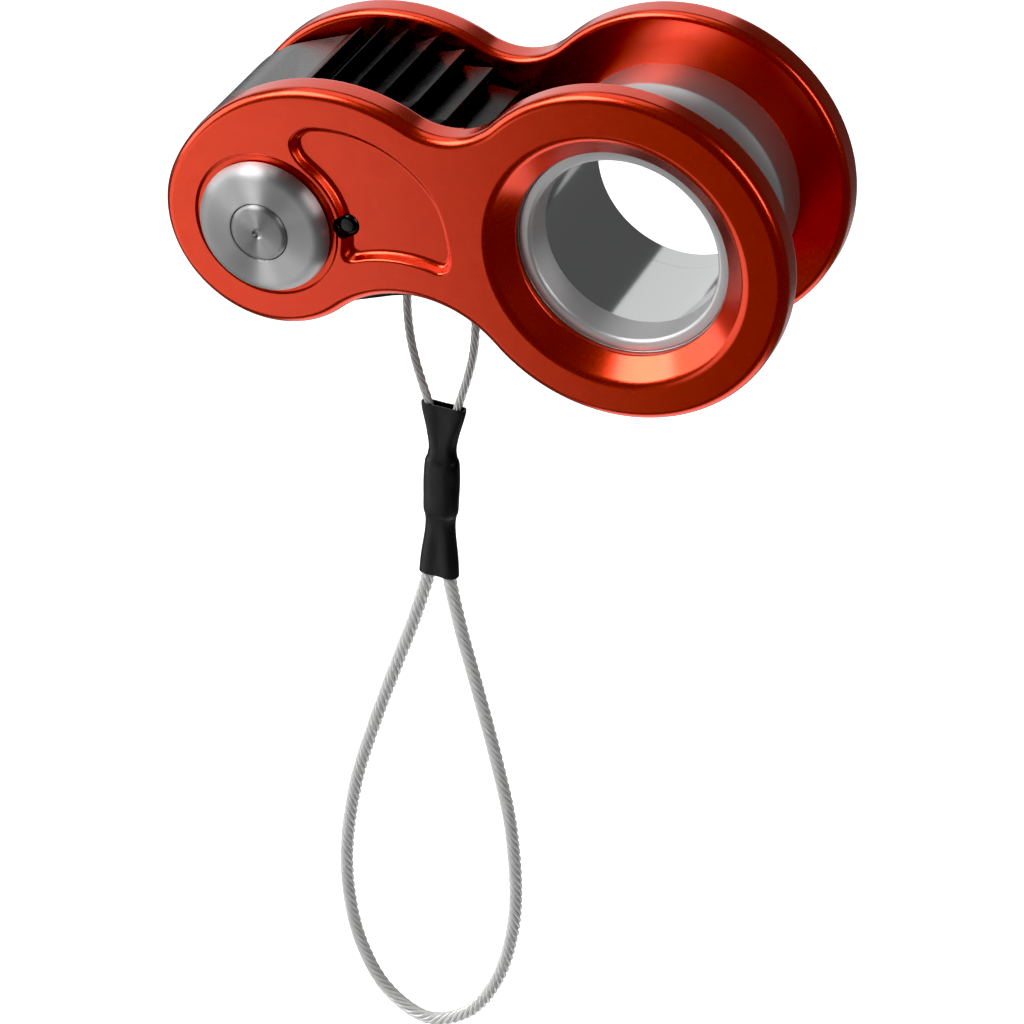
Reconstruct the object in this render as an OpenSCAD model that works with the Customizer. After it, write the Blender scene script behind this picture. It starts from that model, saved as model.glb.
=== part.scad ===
// Compact camming rope grab, in millimetres. Two side plates share a riveted axle. The rear plate carries
// a rope sleeve round the carabiner eye. The front plate swings on the axle to let the rope in, and a
// toothed, sprung cam on the same axle presses the rope against the sleeve. A wire pull loop frees the cam.
// The origin is the centre of the eye, midway between the plates. +X runs from the axle to the eye,
// +Y from the swinging front plate to the fixed rear plate, and +Z is up.

/* [Side plates] */
// Thickness of each side plate
plate_t = 4.5; // [4.3:0.1:4.8]
// Clear gap between the side plates
plate_gap = 19.8; // [19.6:0.1:20.4]
// Distance from the axle to the centre of the eye
axle_to_eye = 47.24; // [47.2:0.02:47.6]
// Radius of the plate's lobe round the eye
eye_lobe_r = 22.45; // [22.2:0.05:23]
// Height of that lobe's centre above the eye's centre
eye_lobe_z = 0.45; // [0.3:0.05:0.6]
// Radius of the plate's heel round the axle
heel_lobe_r = 14.45; // [14.2:0.05:14.8]
// Radius of the long arc over the cam
top_arc_r = 24; // [23:0.5:25]
// Height of that arc's highest point
top_arc_z = 19.5; // [19.2:0.1:19.8]
// Radius of the hollow waist in the upper edge
top_waist_r = 9.5; // [9:0.1:10]
// Radius of the hollow waist in the lower edge
low_waist_r = 15.3; // [14.5:0.1:16]

/* [Eye] */
// Radius of the hole that the carabiner passes through
eye_r = 12; // [11.8:0.05:12.1]
// Radius of the hole in the side plates
plate_eye_r = 14; // [13.9:0.05:14.1]
// Radius of the dished rim where it meets the plate's face
dish_r = 16.92; // [16.6:0.02:17.2]
// Depth of the dished rim
dish_depth = 2.56; // [2.4:0.02:2.7]
// Outer radius of the rope sleeve
sleeve_r = 16; // [15.9:0.05:16.05]
// Half the width of the rope groove in the sleeve
groove_half_w = 4.17; // [4:0.01:4.6]
// Depth of the rope groove
groove_depth = 0.9; // [0.6:0.1:1.2]
// Depth of the sleeve's pocket in the back of the front plate
relief_depth = 1.2; // [1.1:0.05:1.25]

/* [Axle] */
// Radius of the axle
axle_r = 5; // [4.8:0.05:5.1]
// Radius of the axle's riveted ends
rivet_r = 3.95; // [3.8:0.05:4.05]
// Radius of the axle caps
cap_r = 8.94; // [8.7:0.02:9.2]
// How far a cap stands out of its plate
cap_rise = 2.3; // [2.1:0.1:2.5]
// How far a riveted end stands out of its cap
rivet_rise = 0.35; // [0.2:0.05:0.5]

/* [Cam] */
// Radius of the cam's smooth heel
heel_r = 15; // [14.8:0.1:15.2]
// Radius of the curve of tooth tips, where it bends in towards the sleeve
spiral_r = 28.6; // [28.3:0.1:28.7]
// How much the curve shrinks above its bend, in mm per degree
spiral_rate = 0.2; // [0.195:0.001:0.204]
// Number of teeth
teeth = 9; // [9]
// Angle of the lowest tooth tip above the centre line
low_tooth_angle = 5.1; // [4.9:0.1:5.4]
// Angle from one tooth tip to the next
tooth_pitch = 8.5; // [8.4:0.05:8.6]
// Depth of a tooth
tooth_depth = 2.1; // [1.8:0.1:2.4]
// How far the cam opens, in degrees
cam_travel = 75; // [70:1:78]
// Thickness of the washers beside the cam
washer_t = 1; // [0.9:0.05:1.1]

/* [Pull loop] */
// Diameter of the bare steel wire
wire_d = 1.2; // [1.1:0.05:1.25]
// Diameter of the wire with its clear coat
coat_d = 1.9; // [1.8:0.05:2]
// Radius of the pin that the wire hangs on
cord_pin_r = 1.6; // [1.5:0.1:1.8]
// Width of the slot in the cam's tail
tail_slot_w = 4; // [3.6:0.1:4.4]

/* [Hidden] */
$fn = 96;

// Distances from the mid-plane
inner_y = plate_gap / 2;
outer_y = inner_y + plate_t;
dish_floor_y = outer_y - dish_depth;
dish_slope = (dish_r - plate_eye_r) / dish_depth;
relief_y = inner_y + relief_depth;
spotface_r = 10;
spotface_y = outer_y - 0.3;
washer_seat_y = outer_y + 0.1;
friction_washer_r = 8.4;
cap_y = outer_y + cap_rise;
rivet_y = cap_y + rivet_rise;
running = 0.05;
cam_half_w = inner_y - washer_t - running;

// The rope sleeve's front end, how far its spigot stands out of the rear plate's hole, and the eye bushes
sleeve_front_y = -relief_y + 0.2;
spigot_rise = 0.1;
bush_tube_r = 13;
bush_len = 4.3;
flange_r = 13.9;
flange_t = 0.9;

// The plates' outline: five arcs that touch, worked out from their radii
heel = [-axle_to_eye, 0];
axle_place = [-axle_to_eye, 0, 0];
eye_lobe = [0, eye_lobe_z];
top_arc_dz = top_arc_z - top_arc_r;
top_arc = [-axle_to_eye + sqrt(pow(top_arc_r - heel_lobe_r, 2) - pow(top_arc_dz, 2)), top_arc_dz];
top_waist = meeting(top_arc, top_arc_r + top_waist_r, eye_lobe, eye_lobe_r + top_waist_r, 1);
low_waist = meeting(heel, heel_lobe_r + low_waist_r, eye_lobe, eye_lobe_r + low_waist_r, -1);

// The shallow bean-shaped pocket in the plates' outer faces
bean_depth = 1.2;
bean_top = [-38, -2.5];
bean_top_r = 16.7;
bean_start = 68.4;
bean_inner_r = 10.8;
bean_right = -21.2;
bean_low = [-30.2, -21];
bean_low_r = 18;

// The pin that anchors the spring and stops the cam, from the axle
anchor_pos = [10.94, 0.7];
anchor_r = 1.2;
anchor_hole_r = 1.6;
anchor_hole_depth = 1.8;
anchor_reach = 2.2;
anchor_end_y = cam_half_w - anchor_reach;

// The angles that a tooth's steep side and the land between two teeth take up
steep = 1.1;
land = 1.7;
// The cam's tail and the slot in it that the wire swings in, from the axle
cam_tail = [[27.2, -4.6], [24.5, -8.8], [20, -10.6], [14, -11.5]];
// The angle at which the curve of tooth tips bends, and how sharply it bends
spiral_bend = 24;
spiral_ease = 0.004;
tail_slot = [[10.4, 1.6], [10.4, -4], [3, -13], [0, -20], [40, -20], [40, 1.6]];

// The ring-shaped recess for the spring in the cam's front
recess_in_r = 6.9;
recess_out_r = 9.7;
recess_depth = 7.4;
stop_slot_depth = 2.6;
stop_slot_half_w = anchor_r + 0.12;
// The slot turns further than the cam does, by the room that the spring's leg takes beside the pin
stop_slot_turn = cam_travel + 13;
bush_r = 6.2;

// The spring
spring_wire_r = 0.6;
spring_r = 8.3;
spring_turns = 4;
spring_front_y = -8.1;
spring_back_y = -2.15;
spring_steps = 15;
leg_gap = anchor_r + spring_wire_r + 0.08;
leg_angle = atan2(anchor_pos.y + leg_gap, anchor_pos.x);
leg_end_r = 11.6;
leg_root_r = 9.4;
leg_bend = [8.55, -6];

// The pull loop, in its own frame: [across, down] from the top of the heat-shrink, leaning by loop_lean
pin_x = -30;
pin_z = -6;
loop_top = [-31.9, -32.4];
loop_lean = 7;
// The wire's route: a figure of eight that starts in the ferrule, goes over the pin, back through the
// ferrule, round the finger loop and into the ferrule again
wire_route = [
    [-0.68, 10.6], [-0.7, 6.5], [-1.2, 3], [-4, -5.2], [-5.2, -10.5], [-5.6, -16], [-5.1, -21.5],
    [-4.3, -25.6], [-3.4, -28.2], [-1.3, -29.3], [0.7, -28.2], [1.7, -25.6], [2.9, -21.5], [4, -16],
    [4.1, -10.5], [3.3, -5.2], [1.1, 3.4], [0.68, 7], [0.68, 10.8], [-0.68, 14.8], [-1.12, 25],
    [-3.3, 35], [-6.2, 45], [-9.3, 56], [-11.9, 67], [-13.2, 79], [-12.7, 88.5], [-10.6, 97],
    [-6.5, 104], [0, 107.4], [6.5, 104], [10.6, 97], [12.7, 88.5], [13.2, 79], [11.9, 67],
    [9.3, 56], [6.2, 45], [3.3, 35], [1.12, 25], [0.68, 15.4]];
coat_from = 20;
coat_to = 38;
coat_clearance = 0.06;
// The heat-shrink and the ferrule: [down, half width, half depth] where their section changes
shrink_t = 0.4;
shrink_sections = [
    [0, 3.25, 1.6], [1.2, 3.1, 1.55], [6, 1.95, 1.5], [8, 2.05, 1.6], [9.4, 2.5, 1.75],
    [16.2, 2.5, 1.75], [17.6, 2.15, 1.6], [19.5, 2.1, 1.5], [25, 2.8, 1.5], [27, 2.95, 1.5]];
ferrule_sections = [[9.2, 2, 1.25], [16.4, 2, 1.25]];

function unit(v) = v / norm(v);
function polar(r, a) = [r * cos(a), r * sin(a)];

// The point at distance r1 from c1 and r2 from c2, on the side of the line between them that side names
function meeting(c1, r1, c2, r2, side) =
    let (d = norm(c2 - c1), a = (d * d + r1 * r1 - r2 * r2) / (2 * d), h = sqrt(r1 * r1 - a * a),
         u = (c2 - c1) / d)
    c1 + a * u + side * h * [-u.y, u.x];

// The radius of the curve of tooth tips at an angle from the centre line
function spiral(a) = spiral_r + spiral_rate * (spiral_bend - a)
    - spiral_ease * pow(max(spiral_bend - a, 0), 2);

// The points of an arc from one heading to another
function heading(v) = atan2(v.y, v.x);
function arc(c, r, from, to) =
    let (n = ceil(abs(to - from) / 5))
    [for (i = [0 : n]) c + polar(r, from + (to - from) * i / n)];

// A place in the pull loop's frame
function on_loop(across, y, down) = [
    loop_top.x + across * cos(loop_lean) - down * sin(loop_lean), y,
    loop_top.y - across * sin(loop_lean) - down * cos(loop_lean)];

// Directions along a line of points, and a ring of points round each
function along(p, i) = unit(p[min(i + 1, len(p) - 1)] - p[max(i - 1, 0)]);
function ring(p, i, up, r, sides) =
    let (t = along(p, i), a = unit(cross(t, up)), b = cross(a, t))
    [for (k = [0 : sides - 1]) p[i] + r * (cos(360 * k / sides) * a + sin(360 * k / sides) * b)];
function wall(rings, sides, base, inward) = [
    for (i = [0 : rings - 2], k = [0 : sides - 1])
    let (k2 = (k + 1) % sides, a = base + i * sides + k, b = base + i * sides + k2,
         c = b + sides, d = a + sides)
    each inward ? [[a, b, c], [a, c, d]] : [[a, c, b], [a, d, c]]];

// A solid rod along points p; up is a direction that is never along it
module rod(p, up, r, sides) {
    rings = len(p);
    points = [for (i = [0 : rings - 1]) each ring(p, i, up, r, sides)];
    last = (rings - 1) * sides;
    start_cap = [for (k = [1 : sides - 2]) [0, k, k + 1]];
    end_cap = [for (k = [1 : sides - 2]) [last, last + k + 1, last + k]];
    polyhedron(points, concat(wall(rings, sides, 0, false), start_cap, end_cap));
}

// The two flat ends of a tube whose outer rings come before its inner ones
function rims(rings, sides) =
    let (base = rings * sides, last = (rings - 1) * sides)
    [for (k = [0 : sides - 1]) let (k2 = (k + 1) % sides) each [
        [k, k2, base + k2], [k, base + k2, base + k],
        [last + k, base + last + k2, last + k2], [last + k, base + last + k, base + last + k2]]];

// A tube along points p
module pipe(p, up, r_out, r_in, sides) {
    rings = len(p);
    outer = [for (i = [0 : rings - 1]) each ring(p, i, up, r_out, sides)];
    inner = [for (i = [0 : rings - 1]) each ring(p, i, up, r_in, sides)];
    polyhedron(concat(outer, inner),
               concat(wall(rings, sides, 0, false), wall(rings, sides, rings * sides, true),
                      rims(rings, sides)));
}

// A shape drawn in X and Z, from one Y to another
module across(y0, y1) {
    translate([0, y1, 0]) rotate([90, 0, 0]) linear_extrude(y1 - y0) children();
}

// A turned shape about the eye's axis: its outline is drawn as [radius, Y]
module turned_y() {
    rotate([-90, 0, 0]) rotate_extrude() children();
}

// A turned shape about the axle
module on_axle() {
    translate([-axle_to_eye, 0, 0]) turned_y() children();
}

// A ring about the axle
module washer(r_in, r_out, y0, y1) {
    on_axle() translate([r_in, y0]) square([r_out - r_in, y1 - y0]);
}

module plate_outline() {
    polygon(concat(
        arc(heel, heel_lobe_r, heading(low_waist - heel), heading(heel - top_arc) - 360),
        arc(top_arc, top_arc_r, heading(heel - top_arc), heading(top_waist - top_arc)),
        arc(top_waist, top_waist_r, heading(top_arc - top_waist), heading(eye_lobe - top_waist)),
        arc(eye_lobe, eye_lobe_r, heading(top_waist - eye_lobe), heading(low_waist - eye_lobe)),
        arc(low_waist, low_waist_r, heading(eye_lobe - low_waist), heading(heel - low_waist))));
}

module bean_outline() {
    far = 40;
    difference() {
        intersection() {
            translate(bean_top) circle(bean_top_r);
            translate(heel) polygon([[0, 0], polar(far, -20), polar(far, 20), polar(far, bean_start)]);
            translate([-60, -20]) square([60 + bean_right, far]);
        }
        translate(heel) circle(bean_inner_r);
        translate(bean_low) circle(bean_low_r);
    }
}

// A side plate with its outer face towards -Y: outline, dished eye, axle hole, spotface and bean pocket
module side_plate(axle_hole_r) {
    difference() {
        across(-outer_y, -inner_y) plate_outline();
        turned_y() polygon([[0, -outer_y - 1], [dish_r + dish_slope, -outer_y - 1],
                            [plate_eye_r, -dish_floor_y], [plate_eye_r, 0], [0, 0]]);
        washer(0, axle_hole_r, -outer_y - 1, 0);
        washer(0, spotface_r, -outer_y - 1, -spotface_y);
        across(-outer_y - 1, -outer_y + bean_depth) bean_outline();
    }
}

// The pocket that the sleeve's end swings through: round the eye, and up along an arc about the axle
module relief_outline() {
    clearance = 0.3;
    sweep = 60;
    far = 90;
    circle(sleeve_r + clearance);
    translate(heel) difference() {
        intersection() {
            circle(axle_to_eye + sleeve_r + clearance);
            polygon([[0, 0], [far, 0], polar(far, sweep / 2), polar(far, sweep)]);
        }
        circle(axle_to_eye - sleeve_r - clearance);
    }
}

module front_plate() {
    color("orangered") difference() {
        side_plate(bush_r);
        across(-relief_y, -inner_y + 1) relief_outline();
        translate(axle_place + [anchor_pos.x, 0, anchor_pos.y]) {
            rotate([90, 0, 0]) cylinder(h = 2 * outer_y, r = anchor_r);
            translate([0, -outer_y + anchor_hole_depth, 0]) rotate([90, 0, 0])
                cylinder(h = outer_y, r = anchor_hole_r);
        }
    }
}

module rear_plate() {
    color("orangered") mirror([0, 1, 0]) side_plate(axle_r);
}

// Sleeve between the plates: counterbored for the eye bushes, with a spigot through the rear plate
module rope_sleeve() {
    bore_r = eye_r + 0.25;
    edge = 0.4;
    back = dish_floor_y + spigot_rise;
    groove_r = (pow(groove_half_w, 2) + pow(groove_depth, 2)) / (2 * groove_depth);
    color("silver") turned_y() difference() {
        polygon([[bore_r, sleeve_front_y], [sleeve_r - edge, sleeve_front_y],
                 [sleeve_r, sleeve_front_y + edge], [sleeve_r, inner_y], [plate_eye_r, inner_y],
                 [plate_eye_r, back], [bore_r, back]]);
        translate([sleeve_r - groove_depth + groove_r, 0]) circle(groove_r);
        translate([0, sleeve_front_y - 1]) square([bush_tube_r, 1 + bush_len]);
        translate([0, sleeve_front_y - 1]) square([flange_r + running, 1 + flange_t]);
        translate([0, back - bush_len + flange_t]) square([bush_tube_r, bush_len]);
    }
}

// Flanged bush with a rounded mouth, its flange towards -Y and its flange face at y
module eye_bush(y) {
    mouth = 1.2;
    color("silver") turned_y() translate([0, y]) difference() {
        union() {
            translate([eye_r, 0]) square([bush_tube_r - eye_r, bush_len]);
            translate([eye_r, 0]) square([flange_r - eye_r, flange_t]);
        }
        difference() {
            translate([eye_r - 1, -1]) square([1 + mouth, 1 + mouth]);
            translate([eye_r + mouth, mouth]) circle(mouth);
        }
    }
}

module front_eye_bush() {
    eye_bush(sleeve_front_y);
}

module rear_eye_bush() {
    mirror([0, 1, 0]) eye_bush(-dish_floor_y - spigot_rise - flange_t);
}

module axle() {
    mark_r = 0.7;
    mark_depth = 0.3;
    color("gainsboro") on_axle() difference() {
        union() {
            translate([0, -washer_seat_y]) square([axle_r, washer_seat_y + spotface_y]);
            translate([0, -rivet_y]) square([rivet_r, 2 * rivet_y]);
        }
        translate([0, -rivet_y - 1]) square([mark_r, 1 + mark_depth]);
    }
}

// Turned cap with a rounded rim and a face that falls slightly towards it; y is its seat
module axle_cap(y) {
    rim = 1.3;
    rim_y = -cap_y + 0.15;
    color("gainsboro") on_axle() difference() {
        union() {
            polygon([[rivet_r, -cap_y], [cap_r - rim, rim_y], [cap_r - rim, y], [rivet_r, y]]);
            translate([rivet_r, rim_y + rim]) square([cap_r - rivet_r, y - rim_y - rim]);
            translate([cap_r - rim, rim_y + rim]) circle(rim);
        }
        translate([0, y]) square([cap_r + 1, 10]);
    }
}

module front_axle_cap() {
    axle_cap(-washer_seat_y);
}

module rear_axle_cap() {
    mirror([0, 1, 0]) axle_cap(-spotface_y);
}

module plate_bush() {
    color("goldenrod") washer(axle_r + running, bush_r, -spotface_y, -inner_y);
}

module friction_washer() {
    color("dimgray") washer(axle_r + running, friction_washer_r, -washer_seat_y, -spotface_y);
}

module front_thrust_washer() {
    color("dimgray") washer(axle_r + running, bush_r + 0.5, -inner_y, -inner_y + washer_t);
}

module rear_thrust_washer() {
    color("dimgray") washer(axle_r + running, spotface_r, inner_y - washer_t, inner_y);
}

// The cam's outline about the axle, with teeth whose tips lie on a spiral
module cam_outline() {
    tips = [for (i = [0 : teeth - 1]) low_tooth_angle + tooth_pitch * (teeth - 1 - i)];
    toothed = [for (a = tips) each [
        polar(spiral(a), a),
        polar(spiral(a) - tooth_depth, a - steep),
        polar(spiral(a) - tooth_depth, a - steep - land)]];
    start_r = spiral(tips[0]) - tooth_depth;
    start = tips[0] + tooth_pitch - steep - land;
    ramp = [polar(heel_r - 1, start + acos(heel_r / start_r)), polar(start_r, start)];
    circle(heel_r);
    polygon(concat([[0, 0]], ramp, toothed, cam_tail));
}

// The same outline without its teeth, which sets where the teeth's ends are chamfered
module cam_core() {
    steps = 12;
    root_step = 0.2;
    low = low_tooth_angle - steep - land;
    high = low + tooth_pitch * teeth;
    core = [for (k = [0 : steps]) let (a = high + (low - high) * k / steps)
        polar(spiral(a) - tooth_depth - root_step, a)];
    circle(heel_r);
    polygon(concat([[0, 0]], core, cam_tail));
}

// The slot that the stop pin and the spring's leg run in, about the axle
module stop_slot() {
    r = norm(anchor_pos);
    start = heading(anchor_pos);
    far = 30;
    difference() {
        intersection() {
            circle(r + stop_slot_half_w);
            polygon([[0, 0], polar(far, start), polar(far, start + stop_slot_turn / 2),
                     polar(far, start + stop_slot_turn)]);
        }
        circle(recess_in_r + 0.5);
    }
    for (a = [start, start + stop_slot_turn]) {
        translate(polar(r, a)) circle(stop_slot_half_w);
    }
}

module cam() {
    chamfer_step = 1.1;
    far = 20;
    color([0.1, 0.1, 0.11]) translate(axle_place) difference() {
        union() {
            across(-cam_half_w, cam_half_w) cam_core();
            across(-cam_half_w + chamfer_step, cam_half_w - chamfer_step) cam_outline();
        }
        across(-far, far) circle(bush_r);
        across(-far, -cam_half_w + recess_depth) difference() {
            circle(recess_out_r);
            circle(recess_in_r);
        }
        across(-far, -cam_half_w + stop_slot_depth) stop_slot();
        across(-tail_slot_w / 2, tail_slot_w / 2) polygon(tail_slot);
        across(-far, far) translate([pin_x + axle_to_eye, pin_z]) circle(cord_pin_r);
    }
}

module cam_bush() {
    color("goldenrod") washer(axle_r + running, bush_r, -cam_half_w, cam_half_w);
}

// Torsion spring: a close coil round the cam's hub, its front leg out over the anchor pin and its back
// end against the recess's floor
module cam_spring() {
    steps = spring_turns * spring_steps;
    rise = (spring_back_y - spring_front_y) / steps;
    coil = [for (i = [1 : steps]) let (p = polar(spring_r, leg_angle - 360 * i / spring_steps))
        [p.x, spring_front_y + rise * i, p.y]];
    front_leg = [for (r = [leg_end_r, leg_root_r]) let (p = polar(r, leg_angle))
        [p.x, spring_front_y, p.y]];
    bend = polar(leg_bend[0], leg_angle + leg_bend[1]);
    color("dimgray") translate(axle_place)
        rod(concat(front_leg, [[bend.x, spring_front_y, bend.y]], coil), [0.1, 1, 0.2], spring_wire_r, 8);
}

module spring_anchor_pin() {
    color([0.08, 0.08, 0.08]) translate(axle_place + [anchor_pos.x, -anchor_end_y, anchor_pos.y])
        rotate([90, 0, 0]) cylinder(h = outer_y - bean_depth - anchor_end_y, r = anchor_r);
}

module cord_pin() {
    inset = 1;
    color("dimgray") translate([pin_x, cam_half_w - inset, pin_z]) rotate([90, 0, 0])
        cylinder(h = 2 * (cam_half_w - inset), r = cord_pin_r);
}

module pull_wire() {
    color("silver") rod([for (p = wire_route) on_loop(p.x, 0, p.y)], [0, 1, 0], wire_d / 2, 8);
}

module clear_coat() {
    route = [for (i = [coat_from : coat_to]) on_loop(wire_route[i].x, 0, wire_route[i].y)];
    color([0.85, 0.87, 0.88, 0.5]) pipe(route, [0, 1, 0], coat_d / 2, wire_d / 2 + coat_clearance, 8);
}

// Rings with flat sides and round ends, one for each section, inset by t
function oval_rings(sections, t, sides) = [
    for (s = sections, k = [0 : sides - 1]) let (a = 360 * k / sides)
    on_loop((s[1] - s[2]) * sign(cos(a)) + (s[2] - t) * cos(a), (s[2] - t) * sin(a), s[0])];

module ferrule() {
    sides = 20;
    rings = len(ferrule_sections);
    last = (rings - 1) * sides;
    color("silver") polyhedron(oval_rings(ferrule_sections, 0, sides), concat(
        wall(rings, sides, 0, false),
        [for (k = [1 : sides - 2]) [0, k, k + 1]],
        [for (k = [1 : sides - 2]) [last, last + k + 1, last + k]]));
}

module heat_shrink() {
    sides = 20;
    rings = len(shrink_sections);
    color([0.06, 0.06, 0.06]) polyhedron(
        concat(oval_rings(shrink_sections, 0, sides), oval_rings(shrink_sections, shrink_t, sides)),
        concat(wall(rings, sides, 0, false), wall(rings, sides, rings * sides, true),
               rims(rings, sides)));
}

front_plate();
rear_plate();
rope_sleeve();
front_eye_bush();
rear_eye_bush();
axle();
front_axle_cap();
rear_axle_cap();
plate_bush();
friction_washer();
front_thrust_washer();
rear_thrust_washer();
cam();
cam_bush();
cam_spring();
spring_anchor_pin();
cord_pin();
pull_wire();
clear_coat();
ferrule();
heat_shrink();
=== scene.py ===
"""The looks of a compact camming rope grab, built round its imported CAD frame.

Lengths inside the mesh functions are millimetres, in the frame's axes: +X from the axle to the eye, +Y from
the swinging front plate to the fixed rear plate, +Z up. MM turns them into Blender's metres.
"""

import math

import bmesh
import bpy
import numpy as np
from mathutils import Matrix, Vector
from mathutils.geometry import delaunay_2d_cdt


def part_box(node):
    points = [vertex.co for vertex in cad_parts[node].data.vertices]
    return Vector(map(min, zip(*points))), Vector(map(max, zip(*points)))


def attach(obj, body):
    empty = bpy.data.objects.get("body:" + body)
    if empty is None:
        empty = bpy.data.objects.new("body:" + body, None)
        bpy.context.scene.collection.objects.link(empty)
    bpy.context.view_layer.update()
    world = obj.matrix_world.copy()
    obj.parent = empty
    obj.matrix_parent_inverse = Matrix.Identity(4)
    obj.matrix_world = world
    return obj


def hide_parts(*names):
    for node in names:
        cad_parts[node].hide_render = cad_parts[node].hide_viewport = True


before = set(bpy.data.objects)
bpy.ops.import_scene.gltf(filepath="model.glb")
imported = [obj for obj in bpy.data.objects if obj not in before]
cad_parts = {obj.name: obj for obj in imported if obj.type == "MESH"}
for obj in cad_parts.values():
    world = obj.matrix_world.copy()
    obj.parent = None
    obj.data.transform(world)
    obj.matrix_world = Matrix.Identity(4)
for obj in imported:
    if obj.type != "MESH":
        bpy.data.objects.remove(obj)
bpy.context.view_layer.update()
MM = 0.001


def low_high(node):
    """The lowest and highest corner of a CAD node, in millimetres."""
    low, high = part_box(node)
    return np.array(low) / MM, np.array(high) / MM


# Places and sizes that the frame gives
PLATE_LOW, PLATE_HIGH = low_high("front_plate")
OUTER_Y, INNER_Y = -PLATE_LOW[1], -PLATE_HIGH[1]
AXLE_LOW, AXLE_HIGH = low_high("axle")
AXLE_X, AXLE_R = (AXLE_LOW[0] + AXLE_HIGH[0]) / 2, (AXLE_HIGH[0] - AXLE_LOW[0]) / 2
AXLE = np.array([AXLE_X, 0.0])
EYE = np.array([0.0, 0.0])

# ---------------------------------------------------------------- camera

CAMERA_AZIMUTH, CAMERA_ELEVATION, CAMERA_ROLL = 24.87, 31.21, -5.37
CAMERA_LENS, SENSOR = 136.58, 36.0
# The camera's place: right, up and back along its own axes, from the eye's axis at this Y
CAMERA_RIGHT, CAMERA_UP, CAMERA_BACK = -13.39, -31.59, 478.5
CAMERA_AIM_Y = -11.83


def add_camera():
    """The camera, turned by its azimuth from the front, its elevation and its roll."""
    a, e = math.radians(CAMERA_AZIMUTH), math.radians(CAMERA_ELEVATION)
    back = Vector((math.sin(a) * math.cos(e), -math.cos(a) * math.cos(e), math.sin(e)))
    turn = (-back).to_track_quat("-Z", "Y").to_matrix() @ Matrix.Rotation(math.radians(CAMERA_ROLL), 3, "Z")
    data = bpy.data.cameras.new("camera")
    data.lens = CAMERA_LENS
    data.sensor_width = SENSOR
    data.clip_start, data.clip_end = 0.01, 20
    camera = bpy.data.objects.new("camera", data)
    place = turn @ Vector((CAMERA_RIGHT, CAMERA_UP, CAMERA_BACK)) + Vector((0, CAMERA_AIM_Y, 0))
    camera.matrix_world = Matrix.LocRotScale(place * MM, turn, None)
    bpy.context.scene.collection.objects.link(camera)
    bpy.context.scene.camera = camera


# ---------------------------------------------------------------- shapes


def unit(v):
    return np.asarray(v, float) / np.linalg.norm(v)


def turned(angle, r=1.0):
    """The point at that angle, in degrees, on a circle about the origin."""
    return r * np.array([math.cos(math.radians(angle)), math.sin(math.radians(angle))])


def heading(v):
    """The angle of a 2-D vector, in degrees."""
    return math.degrees(math.atan2(v[1], v[0]))


def rounded(corners, closed=True, steps=5):
    """Points through corners (x, y, radius), each corner an arc of its radius."""
    out = []
    for i, (x, y, r) in enumerate(corners):
        corner = np.array([x, y], float)
        if r == 0 or (not closed and i in (0, len(corners) - 1)):
            out.append(corner)
            continue
        u = unit(np.array(corners[i - 1][:2]) - corner)
        v = unit(np.array(corners[(i + 1) % len(corners)][:2]) - corner)
        half = math.acos(np.clip(u @ v, -1, 1)) / 2
        centre = corner + unit(u + v) * r / math.sin(half)
        first = heading(corner + u * r / math.tan(half) - centre)
        sweep = (heading(corner + v * r / math.tan(half) - centre) - first + 180) % 360 - 180
        out += [centre + turned(first + sweep * t, r) for t in np.linspace(0, 1, steps + 1)]
    return out


def loft(rings, closed_path=False):
    """Quads between rings, each a closed loop of as many points."""
    rings = np.array(rings, float)
    count, sides, _ = rings.shape
    i, k = np.meshgrid(np.arange(count if closed_path else count - 1), np.arange(sides), indexing="ij")
    i2, k2 = (i + 1) % count, (k + 1) % sides
    faces = np.stack([i * sides + k, i * sides + k2, i2 * sides + k2, i2 * sides + k], -1)
    return rings.reshape(-1, 3), faces.reshape(-1, 4).tolist()


def level(loop, y):
    """A loop of [x, z] points as 3-D points at height y."""
    loop = np.asarray(loop, float)
    return np.stack([loop[:, 0], np.full(len(loop), float(y)), loop[:, 1]], -1)


def revolved(profile, centre, closed=True, sides=144):
    """A profile of [radius, y] points, turned about the Y line through centre [x, z]."""
    angles = np.linspace(0, 360, sides, endpoint=False)
    circle = np.array([turned(a) for a in angles])
    return loft([level(circle * r + centre, y) for r, y in profile], closed_path=closed)


def inside(points, loop):
    """Which points lie inside a closed loop."""
    a, b = loop, np.roll(loop, -1, axis=0)
    x, z = points[:, 0:1], points[:, 1:2]
    crosses = (a[:, 1] > z) != (b[:, 1] > z)
    slope = (b[:, 0] - a[:, 0]) / np.where(b[:, 1] == a[:, 1], 1e-12, b[:, 1] - a[:, 1])
    return (crosses & (x < a[:, 0] + (z - a[:, 1]) * slope)).sum(1) % 2 == 1


def flat(outer, holes, y):
    """A flat face at height y between an outer loop and the loops of its holes."""
    loops = [np.asarray(loop, float) for loop in [outer, *holes]]
    edges, first = [], 0
    for loop in loops:
        edges += [(first + k, first + (k + 1) % len(loop)) for k in range(len(loop))]
        first += len(loop)
    points = [Vector(p) for p in np.concatenate(loops)]
    found, _, faces, _, _, _ = delaunay_2d_cdt(points, edges, [], 0, 1e-6)
    found = np.array(found)
    middles = np.array([found[list(f)].mean(0) for f in faces])
    keep = inside(middles, loops[0])
    for hole in loops[1:]:
        keep &= ~inside(middles, hole)
    return level(found, y), [list(f) for f, k in zip(faces, keep) if k]


def joined(*parts):
    """The parts as one."""
    points, faces, first = [], [], 0
    for p, f in parts:
        points.append(np.asarray(p, float))
        faces += [[first + k for k in face] for face in f]
        first += len(p)
    return np.concatenate(points), faces


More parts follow.
